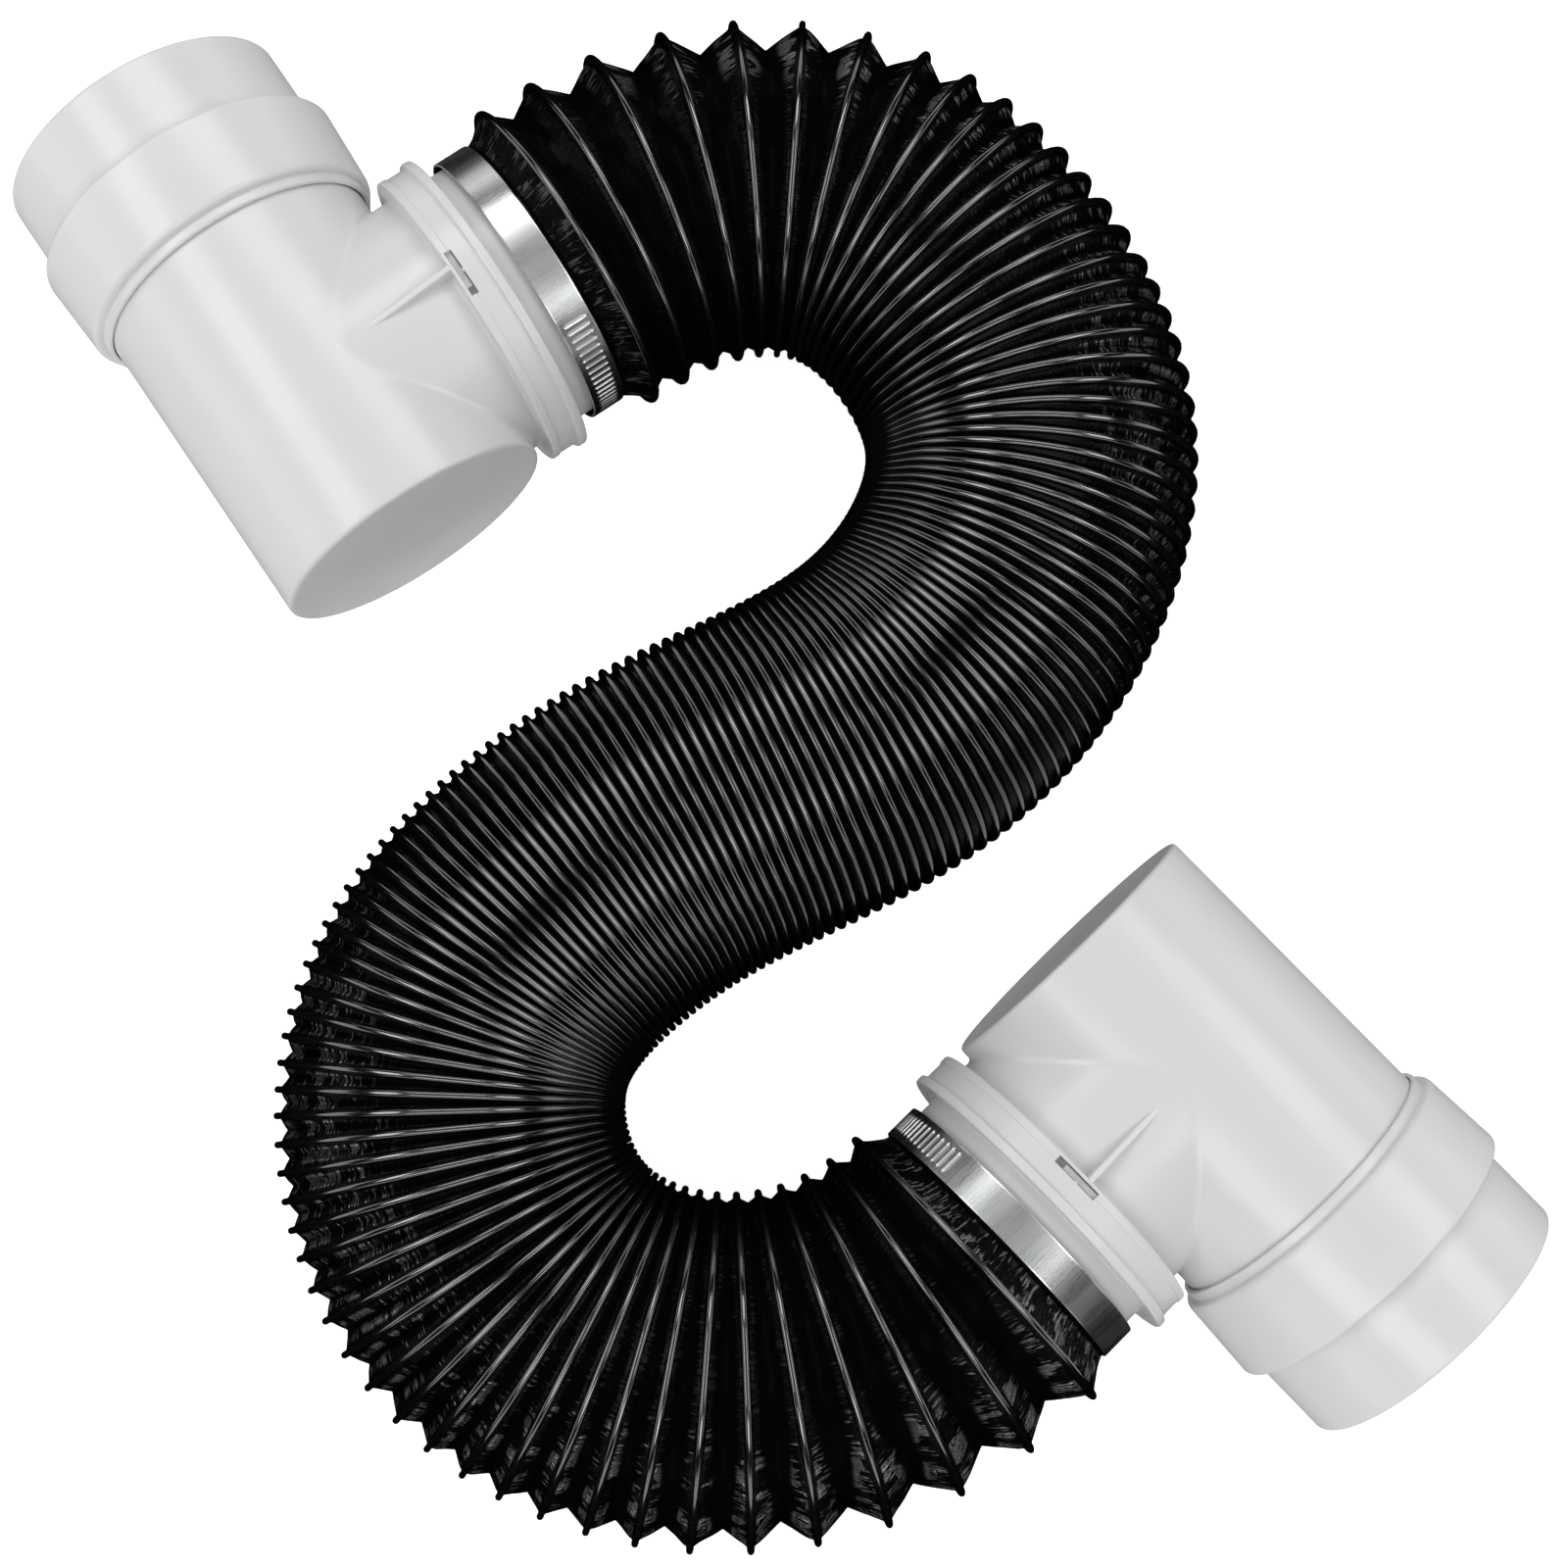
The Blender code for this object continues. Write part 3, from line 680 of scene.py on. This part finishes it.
elbow = {
    "wall": 2.5, "branchWall": 2.8, "closedEnd": 56.0, "edge": 2.0, "openEnd": 88.5,
    "fillet": 1.9, "crownFillet": 0.8, "filletRows": 9, "neckRows": 8,
    "backBead": (57.7, 3.0), "frontBead": (58.9, 3.5), "beadBend": 1.1,
    "ribStart": 25.0, "ribWidth": 2.2, "ribSunk": 1.4, "ribEdge": 0.5,
    "windowWidth": 17.6, "windowDepth": 2.8, "windowInset": 1.2, "windowShift": -0.8,
    "nib": (1.4, 0.6), "sides": 128, "bodyStep": 2.5,
}


def branchSolid():
    # the branch with its fillet onto the body, its beads and its band, as one closed solid
    body, radius = fit["bodyRadius"], fit["branchRadius"]
    theta = np.arange(elbow["sides"]) * 2 * math.pi / elbow["sides"]
    y, z = radius * np.cos(theta), radius * np.sin(theta)
    meet = np.stack([np.sqrt(body ** 2 - z ** 2), y, z], axis=-1)
    bodyNormal = unit(np.stack([meet[:, 0], 0 * y, z], axis=-1))
    outward = np.stack([0 * y, np.cos(theta), np.sin(theta)], axis=-1)
    away = unit(outward - (outward * bodyNormal).sum(-1, keepdims=True) * bodyNormal)
    reach = (elbow["fillet"] + elbow["crownFillet"] * np.sin(theta) ** 8)[:, None]

    def sunk(points, depth):
        radial = np.hypot(points[:, 0], points[:, 2])[:, None]
        scale = (body - depth) / radial
        return np.stack([points[:, 0] * scale[:, 0], points[:, 1], points[:, 2] * scale[:, 0]], axis=-1)

    root = sunk(meet + away * reach, 0.05)
    rows = [np.tile([body - 25.0, 0.0, 0.0], (len(theta), 1)), sunk(root, 4.0)]
    leave = meet + reach * np.array([1.0, 0.0, 0.0])
    for t in np.linspace(0, 1, elbow["filletRows"]):
        rows.append((1 - t) ** 2 * root + 2 * t * (1 - t) * meet + t ** 2 * leave)
    start, end, band = fit["bandStart"], fit["bandEnd"], fit["bandRadius"]
    backRadius, backWidth = elbow["backBead"]
    frontRadius, frontWidth = elbow["frontBead"]
    bend = elbow["beadBend"]
    profile = rounded([
        (start - 3.0, radius), (start, radius, 1.5), (start, backRadius, 0.8),
        (start + backWidth, backRadius, 0.8), (start + backWidth, band, 0.3),
        (end - frontWidth, band, 0.6), (end - frontWidth, frontRadius, bend),
        (end, frontRadius, bend), (end, 0.0),
    ])
    neck = np.stack([0 * y + profile[0, 0], y, z], axis=-1)
    lengths = elbow["neckRows"] + 1
    rows += [leave + (neck - leave) * i / lengths for i in range(1, lengths)]
    for along, out in profile:
        rows.append(np.stack([0 * y + along, out * np.cos(theta), out * np.sin(theta)], axis=-1))
    return cleaned(meshFromGrid("branch", np.array(rows), loopColumns=True))


def ribSolid(side):
    half, start, end = elbow["ribWidth"] / 2, elbow["ribStart"], fit["bandStart"] + 1.5
    base, top = fit["branchRadius"] - elbow["ribSunk"], fit["bandRadius"]
    shape = bmesh.new()
    corners = [(start, base), (end, base), (end, top), (end - 1.5, top), (start, fit["branchRadius"])]
    sheets = [
        [shape.verts.new(np.array((x, y, side * z)) * toMetres) for x, z in corners] for y in (-half, half)]
    shape.faces.new(sheets[0])
    shape.faces.new(sheets[1])
    for i in range(len(corners)):
        j = (i + 1) % len(corners)
        shape.faces.new((sheets[0][i], sheets[0][j], sheets[1][j], sheets[1][i]))
    bmesh.ops.recalc_face_normals(shape, faces=shape.faces)
    ridges = [
        edge for edge in shape.edges
        if all(side * corner.co.z > (base + 0.5) * toMetres for corner in edge.verts)
        and abs(edge.verts[0].co.y - edge.verts[1].co.y) < 1e-6]
    bmesh.ops.bevel(
        shape, geom=ridges, offset=elbow["ribEdge"] * toMetres, segments=3, profile=0.5, affect="EDGES")
    mesh = bpy.data.meshes.new("rib")
    shape.to_mesh(mesh)
    shape.free()
    return mesh


def windowPlace(turn, along):
    return turnedAboutBranch(turn) @ moved(along, elbow["windowShift"], fit["bandRadius"])


def elbowMesh():
    sides, closed, edge = elbow["sides"], -elbow["closedEnd"], elbow["edge"]
    body = fit["bodyRadius"]
    outline = rounded([
        (elbow["openEnd"], 0), (elbow["openEnd"], body, 0.5), (closed, body, edge), (closed, 0)])
    solid = turnedMesh("body", filled(outline, elbow["bodyStep"]), "y", sides, closedOutline=False)
    steps = [("UNION", branchSolid()), ("UNION", ribSolid(1)), ("UNION", ribSolid(-1))]

    def core(low, high, radius, axis):
        plain = np.array([(high, 0), (high, radius), (low, radius), (low, 0)], float)
        return turnedMesh("core", plain, axis, sides, closedOutline=False)

    end = fit["bandEnd"] + 10
    bore = rounded([
        (elbow["openEnd"] + 10, 0), (elbow["openEnd"] + 10, body - elbow["wall"]),
        (closed + elbow["wall"], body - elbow["wall"], 1.5), (closed + elbow["wall"], 0)])
    steps.append(("DIFFERENCE", turnedMesh("bore", bore, "y", sides, closedOutline=False)))
    steps.append(("DIFFERENCE", core(0.0, end, fit["branchRadius"] - elbow["branchWall"], "x")))
    steps.append(("DIFFERENCE", core(fit["seatFloor"], end, fit["socketRadius"], "x")))
    depth, width, nib = elbow["windowDepth"], elbow["windowWidth"], elbow["nib"]
    back = fit["bandStart"] + elbow["windowInset"]
    for turn in (fit["windowTurn"], fit["windowTurn"] + 180):
        place = windowPlace(turn, back + depth / 2)
        steps.append(("DIFFERENCE", boxMesh("window", (depth, width, 14.0), place)))
        nibPlace = windowPlace(turn, back + depth - nib[1] / 2 + 0.3) @ moved(0, -elbow["windowShift"], -1.7)
        steps.append(("UNION", boxMesh("nib", (nib[1] + 0.6, nib[0], 2.6), nibPlace, 0.25)))
    return joinedSolid(solid, steps)


collar = {
    "start": 59.0, "lipRadius": 54.7, "lipLength": 4.0, "shoulderRadius": 57.7,
    "seam": 93.5, "seamRadius": 59.4,
    "sleeveRadius": 54.5, "sleeveBore": 51.5, "sleeveEnd": 124.0, "bore": 53.0, "stop": 89.0, "sides": 144,
    "seamWidth": 1.0, "seamDepth": 1.2,
}


def collarMesh():
    c = collar
    lipEnd = c["start"] + c["lipLength"]
    seamEnd, seamFloor = c["seam"] + c["seamWidth"], c["sleeveRadius"] - c["seamDepth"]
    outline = rounded([
        (c["sleeveEnd"], c["sleeveRadius"], 1.4), (seamEnd, c["sleeveRadius"], 0.2),
        (seamEnd - 0.1, seamFloor, 0.1), (c["seam"], seamFloor, 0.1),
        (c["seam"], c["seamRadius"], 1.5), (lipEnd, c["shoulderRadius"], 2.4),
        (lipEnd, c["lipRadius"] - 0.2, 0.4), (lipEnd - 0.8, c["lipRadius"], 0.5),
        (c["start"], c["lipRadius"], 0.9), (c["start"], c["bore"], 0.4),
        (c["stop"], c["bore"], 0.3), (c["stop"], c["sleeveBore"], 0.3), (c["sleeveEnd"], c["sleeveBore"], 0.7),
    ], steps=6, closed=True)
    return turnedMesh("end_collar", outline, "y", c["sides"])


spigot = {"end": 96.0, "wall": 2.0, "tab": (2.2, 14.4, 54.9), "tabShift": 1.2, "sides": 128}


def spigotMesh():
    radius, flange = fit["spigotRadius"], fit["flangeRadius"]
    back, front = fit["seatFloor"] + 0.3, fit["bandEnd"] - 0.2
    bore = radius - spigot["wall"]
    outline = rounded([
        (spigot["end"], bore, 0.4), (spigot["end"], radius - 1, 0.5), (spigot["end"] - 2, radius, 0.5),
        (front, radius, 0.8), (front, flange, 0.5), (back, flange, 0.3), (back, bore, 0.3),
    ], closed=True)
    solid = turnedMesh("spigot", outline, "x", spigot["sides"])
    depth, width, top = spigot["tab"]
    along = fit["bandStart"] + elbow["windowInset"] + elbow["windowDepth"] / 2
    steps = []
    for turn in (fit["windowTurn"], fit["windowTurn"] + 180):
        place = turnedAboutBranch(turn) @ moved(along, spigot["tabShift"], top - 2.0)
        steps.append(("UNION", boxMesh("tab", (depth, width, 4.0), place, 0.3)))
    return joinedSolid(solid, steps)


# Bright rolled steel, with fine streaks across the band and soft clouds
steelLook = {
    "dark": (0.74, 0.75, 0.76), "pale": (0.86, 0.87, 0.88), "clouds": (22.0, 55.0, 1.0),
    "pressedRoughness": 0.20, "streakHeight": 0.000014,
}


def steelFinish(name, streakScale, roughness):
    finish = Finish(name)
    x, y, z = finish.parts(finish.stored("ownPoint"))
    drawn = finish.vector(x, finish.maths("ARCTAN2", y, z) * round(fit["clampRadius"] * toMetres, 4), 0.0)
    streaks = finish.noise(finish.stretched(drawn, streakScale), 1.0, 2.0, 0.6)
    smudges = finish.noise(finish.stretched(drawn, steelLook["clouds"]), 1.0, 2.0, 0.5, 0.4)
    pressed = finish.parts(finish.stored("pressed"))[0]
    uneven = finish.between(smudges * 0.6 + streaks * 0.4, 0.35, 0.65, *roughness)
    return finish.surface(
        Base_Color=finish.shades(smudges, steelLook["dark"], steelLook["pale"]),
        Metallic=1.0,
        Roughness=uneven + pressed * steelLook["pressedRoughness"],
        Normal=finish.bump(streaks, steelLook["streakHeight"]))


clamp = {
    "slots": 22, "firstSlot": 40.0, "slotPitch": 3.1, "slotLength": 8.4, "slotWidth": 1.75,
    "slotDepth": 0.45, "slotFall": (-0.35, 0.1), "stepsPerSlot": 16, "plainSteps": 110,
    "edge": (0, 0.02, 0.15, 0.45), "edgeFall": (0.35, 0.2, 0.05), "flatSteps": 33,
    "housing": (13.6, 14.0, 8.6), "housingGap": 0.3, "housingBend": 2.4,
    "pressedLine": (0.62, 0.7, 0.9, 3.2),  # share of the housing's width, width, height, how far from the end
    "wormRadius": 2.8, "wormGap": 0.4, "overhang": 1.5, "threadPitch": 2.6, "threadDepth": 0.55,
    "wormSides": 40, "wormSteps": 130, "headRadius": 4.2, "headLength": 5.0, "headSlot": (1.2, 2.6, 12.0),
}
slotTurn = math.degrees(clamp["slotPitch"] / fit["clampRadius"])
wormHeight = fit["clampRadius"] + 2 * clamp["housingGap"] + clamp["wormGap"] + clamp["wormRadius"]
clampMiddle = fit["clampStart"] + fit["clampWidth"] / 2


def clampBandMesh():
    # a band whose slots are pressed in, finer where the slots are
    first, pitch, count = math.radians(clamp["firstSlot"]), math.radians(slotTurn), clamp["slots"]
    slotted = np.linspace(first - pitch, first + count * pitch, (count + 1) * clamp["stepsPerSlot"] + 1)
    plain = np.linspace(slotted[-1], slotted[0] + 2 * math.pi, clamp["plainSteps"])[1:-1]
    angle = np.concatenate([slotted, plain])
    width, outer, inner = fit["clampWidth"], fit["clampRadius"], fit["clampBore"]
    *edge, flatStart = clamp["edge"]
    flat = np.linspace(flatStart, width - flatStart, clamp["flatSteps"])
    across = np.concatenate([edge, flat, [width - step for step in reversed(edge)]])
    fall = np.concatenate([clamp["edgeFall"], 0 * flat, clamp["edgeFall"][::-1]])
    radius = np.full((len(across), len(angle)), outer) - fall[:, None]
    number = np.clip(np.round((angle - first) / pitch), 0, count - 1)
    aside = np.abs(angle - first - number * pitch) * outer
    lengthwise = np.maximum(np.abs(across - width / 2) - (clamp["slotLength"] - clamp["slotWidth"]) / 2, 0)
    fromSlot = np.hypot(aside[None, :], lengthwise[:, None]) - clamp["slotWidth"] / 2
    pressed = 1 - softStep(*clamp["slotFall"], fromSlot)
    radius = radius - clamp["slotDepth"] * pressed
    rows = np.concatenate([radius, np.full((2, len(angle)), inner)])
    along = np.repeat((np.concatenate([across, [width, 0]]) + fit["clampStart"])[:, None], len(angle), axis=1)
    grid = np.stack([along, rows * np.sin(-angle), rows * np.cos(angle)], axis=-1)
    mesh = meshFromGrid("clamp_band", grid, loopRows=True, loopColumns=True)
    mask = np.concatenate([pressed, 0 * pressed[:2]])
    storeVectors(mesh, "pressed", np.repeat(mask.reshape(-1, 1), 3, axis=1))
    return facedOut(mesh)


def housingMesh():
    wide, long, high = clamp["housing"]
    floor = fit["clampRadius"] + clamp["housingGap"]
    place = moved(clampMiddle, 0, floor + high / 2)
    solid = boxMesh("housing", (wide, long, high), place, clamp["housingBend"])
    worm = clamp["wormRadius"] + clamp["wormGap"]
    bore = np.array([(long, 0), (long, worm), (-long, worm), (-long, 0)], float)
    wormBore = turnedMesh("worm_bore", bore, "y", 48, closedOutline=False)
    wormBore.transform(moved(clampMiddle, 0, wormHeight))
    under = np.array([(0.0, 0), (0.0, floor), (120.0, floor), (120.0, 0)], float)[::-1]
    band = turnedMesh("under", under, "x", 128, closedOutline=False)
    steps = [("DIFFERENCE", wormBore), ("DIFFERENCE", band)]
    share, lineWidth, lineHeight, fromEnd = clamp["pressedLine"]
    for end in (-1, 1):
        place = moved(clampMiddle, end * (long / 2 - fromEnd), floor + high)
        steps.append(("DIFFERENCE", boxMesh("pressed_line", (wide * share, lineWidth, lineHeight), place, 0.2)))
    return joinedSolid(solid, steps)


def screwMesh():
    # a worm with its thread, and a slotted six-sided head at the -Y end
    tip, neck = clamp["housing"][1] / 2 + clamp["overhang"], -clamp["housing"][1] / 2 - 0.3
    around = clamp["wormSides"]
    angle = np.arange(around) * 2 * math.pi / around
    along = np.linspace(neck, tip, clamp["wormSteps"])
    phase = (along[:, None] / clamp["threadPitch"] - angle[None, :] / (2 * math.pi)) % 1
    ridge = np.clip(1.6 * (1 - np.abs(2 * phase - 1)) - 0.2, 0, 1)
    fade = (softStep(neck, neck + 1.5, along) * (1 - softStep(tip - 1.5, tip, along)))[:, None]
    radius = clamp["wormRadius"] - clamp["threadDepth"] * (1 - ridge * fade) - 0.02
    closed = np.zeros((1, around))
    radius = np.concatenate([closed, radius, closed])
    along = np.concatenate([along[:1], along, along[-1:]])[:, None] + 0 * radius
    grid = np.stack([radius * np.cos(angle), along, radius * np.sin(angle)], axis=-1)
    worm = cleaned(meshFromGrid("worm", grid, loopColumns=True))
    high, far = clamp["headRadius"], neck - clamp["headLength"]
    hexagon = rounded([(neck + 0.2, 0), (neck + 0.2, high, 0.5), (far, high, 0.8), (far, 0)], steps=3)
    head = turnedMesh("head", hexagon, "y", 6, closedOutline=False)
    slot = boxMesh("slot", clamp["headSlot"], moved(0, far, 0))
    return joinedSolid(head, [("DIFFERENCE", slot), ("UNION", worm)])


steel = steelFinish("clampSteel", (30.0, 2600.0, 1.0), (0.24, 0.33))
screwSteel = steelFinish("screwSteel", (300.0, 300.0, 1.0), (0.28, 0.38))

kinds = [
    ("elbow", elbowMesh(), white, "white_plastic", "duct"),
    ("end_collar", collarMesh(), white, "white_plastic", "mouth"),
    ("spigot", spigotMesh(), white, "white_plastic", "duct"),
    ("clamp_band", clampBandMesh(), steel, "clamp_steel", "duct"),
    ("clamp_housing", housingMesh(), steel, "clamp_steel", "duct"),
    ("clamp_screw", screwMesh(), screwSteel, "screw_steel", "worm"),
]
print("connector pieces made:", {name: len(mesh.polygons) for name, mesh, *_ in kinds})

underClamp = turnedAboutBranch(fit["housingTurn"])
ownPlaces = {"clamp_housing": underClamp, "clamp_screw": underClamp @ moved(clampMiddle, 0, wormHeight)}
for side, place in places.items():
    for name, mesh, finish, slot, body in kinds:
        rideOn = body if body == "duct" else f"{body}_{side}"
        where = place @ ownPlaces.get(name, Matrix())
        piece = addPiece(f"{name}_{side}_shape", mesh.copy(), finish, rideOn, where)
        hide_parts(f"{name}_{side}")
print("connectors and clamps placed")

# The room: a pale floor, a pale surround that only the camera sees, and a softbox and a low card on each of
# the picture's four sides
room = {
    "floorSize": 50.0, "floorColour": (0.90, 0.90, 0.90), "surroundRadius": 30.0,
    "surroundColour": (0.93, 0.93, 0.93), "floorGlow": 0.95,
    "overhead": 0.28, "overheadFrom": 0.60, "overheadFull": 0.97,
    "softboxes": [
        # name, side of the picture in degrees, height in degrees, distance, width, length, power
        ("leftBox", 180, 52, 1.6, 0.45, 1.3, 7.2),
        ("rightBox", 0, 52, 1.6, 0.45, 1.3, 6.0),
        ("upperBox", 90, 52, 1.6, 0.45, 1.3, 6.6),
        ("lowerBox", 270, 52, 1.6, 0.45, 1.3, 6.0),
        ("leftCard", 180, 16, 1.6, 0.6, 2.2, 4.5),
        ("rightCard", 0, 16, 1.6, 0.6, 2.2, 4.0),
        ("upperCard", 90, 16, 1.6, 0.6, 2.2, 3.5),
        ("lowerCard", 270, 16, 1.6, 0.6, 2.2, 4.5),
    ],
}


def addFloor():
    size = room["floorSize"] / 2
    shape = bmesh.new()
    bmesh.ops.create_grid(shape, x_segments=8, y_segments=8, size=size)
    mesh = bpy.data.meshes.new("floor")
    shape.to_mesh(mesh)
    shape.free()
    finish = Finish("paleFloor")
    cloud = finish.noise(finish.objectPoint(), 2.0)
    colour = room["floorColour"]
    mesh.materials.append(finish.surface(
        Base_Color=finish.shades(cloud, colour, tuple(0.99 * shade for shade in colour)), Roughness=0.9,
        Specular_IOR_Level=0.1, Emission_Color=(*colour, 1), Emission_Strength=room["floorGlow"]))
    floor = bpy.data.objects.new("floor", mesh)
    bpy.context.scene.collection.objects.link(floor)
    floor.visible_glossy = False


def addSurround():
    shape = bmesh.new()
    bmesh.ops.create_uvsphere(shape, u_segments=48, v_segments=24, radius=room["surroundRadius"])
    mesh = bpy.data.meshes.new("surround")
    shape.to_mesh(mesh)
    shape.free()
    finish = Finish("paleSurround")
    mesh.materials.append(finish.surface(
        Base_Color=(0, 0, 0, 1), Emission_Color=(*room["surroundColour"], 1), Emission_Strength=1.0))
    surround = bpy.data.objects.new("surround", mesh)
    bpy.context.scene.collection.objects.link(surround)
    for kind in ("diffuse", "glossy", "transmission", "volume_scatter", "shadow"):
        setattr(surround, f"visible_{kind}", False)


def addSoftbox(name, side, height, distance, width, length, power):
    # side is counted in the picture, from its right-hand edge anticlockwise
    turn = math.radians(side + cameraSettings["turn"][2])
    rise = math.radians(height)
    aim = Vector((math.cos(turn) * math.cos(rise), math.sin(turn) * math.cos(rise), math.sin(rise)))
    data = bpy.data.lights.new(name, "AREA")
    data.shape = "RECTANGLE"
    data.size, data.size_y = length, width
    data.energy = power
    box = bpy.data.objects.new(name, data)
    back = aim.normalized()
    across = Vector((-math.sin(turn), math.cos(turn), 0))
    box.matrix_world = Matrix.Translation(aim * distance) @ Matrix(
        (across, back.cross(across), back)).transposed().to_4x4()
    bpy.context.scene.collection.objects.link(box)
    box.visible_camera = False


addFloor()
addSurround()
for softbox in room["softboxes"]:
    addSoftbox(*softbox)


def addOverheadLight():
    # a faint glow from above, none from the sides
    world = bpy.data.worlds.new("room")
    world.use_nodes = True
    nodes, links = world.node_tree.nodes, world.node_tree.links
    point = nodes.new("ShaderNodeTexCoord")
    split = nodes.new("ShaderNodeSeparateXYZ")
    fade = nodes.new("ShaderNodeMapRange")
    fade.interpolation_type = "SMOOTHSTEP"
    for place, value in {1: room["overheadFrom"], 2: room["overheadFull"], 3: 0.0, 4: room["overhead"]}.items():
        fade.inputs[place].default_value = value
    links.new(point.outputs["Generated"], split.inputs[0])
    links.new(split.outputs[2], fade.inputs[0])
    links.new(fade.outputs[0], nodes["Background"].inputs["Strength"])
    nodes["Background"].inputs["Color"].default_value = (1, 1, 1, 1)
    bpy.context.scene.world = world


addOverheadLight()
bpy.context.scene.view_settings.view_transform = "Standard"
print("floor and lights placed")
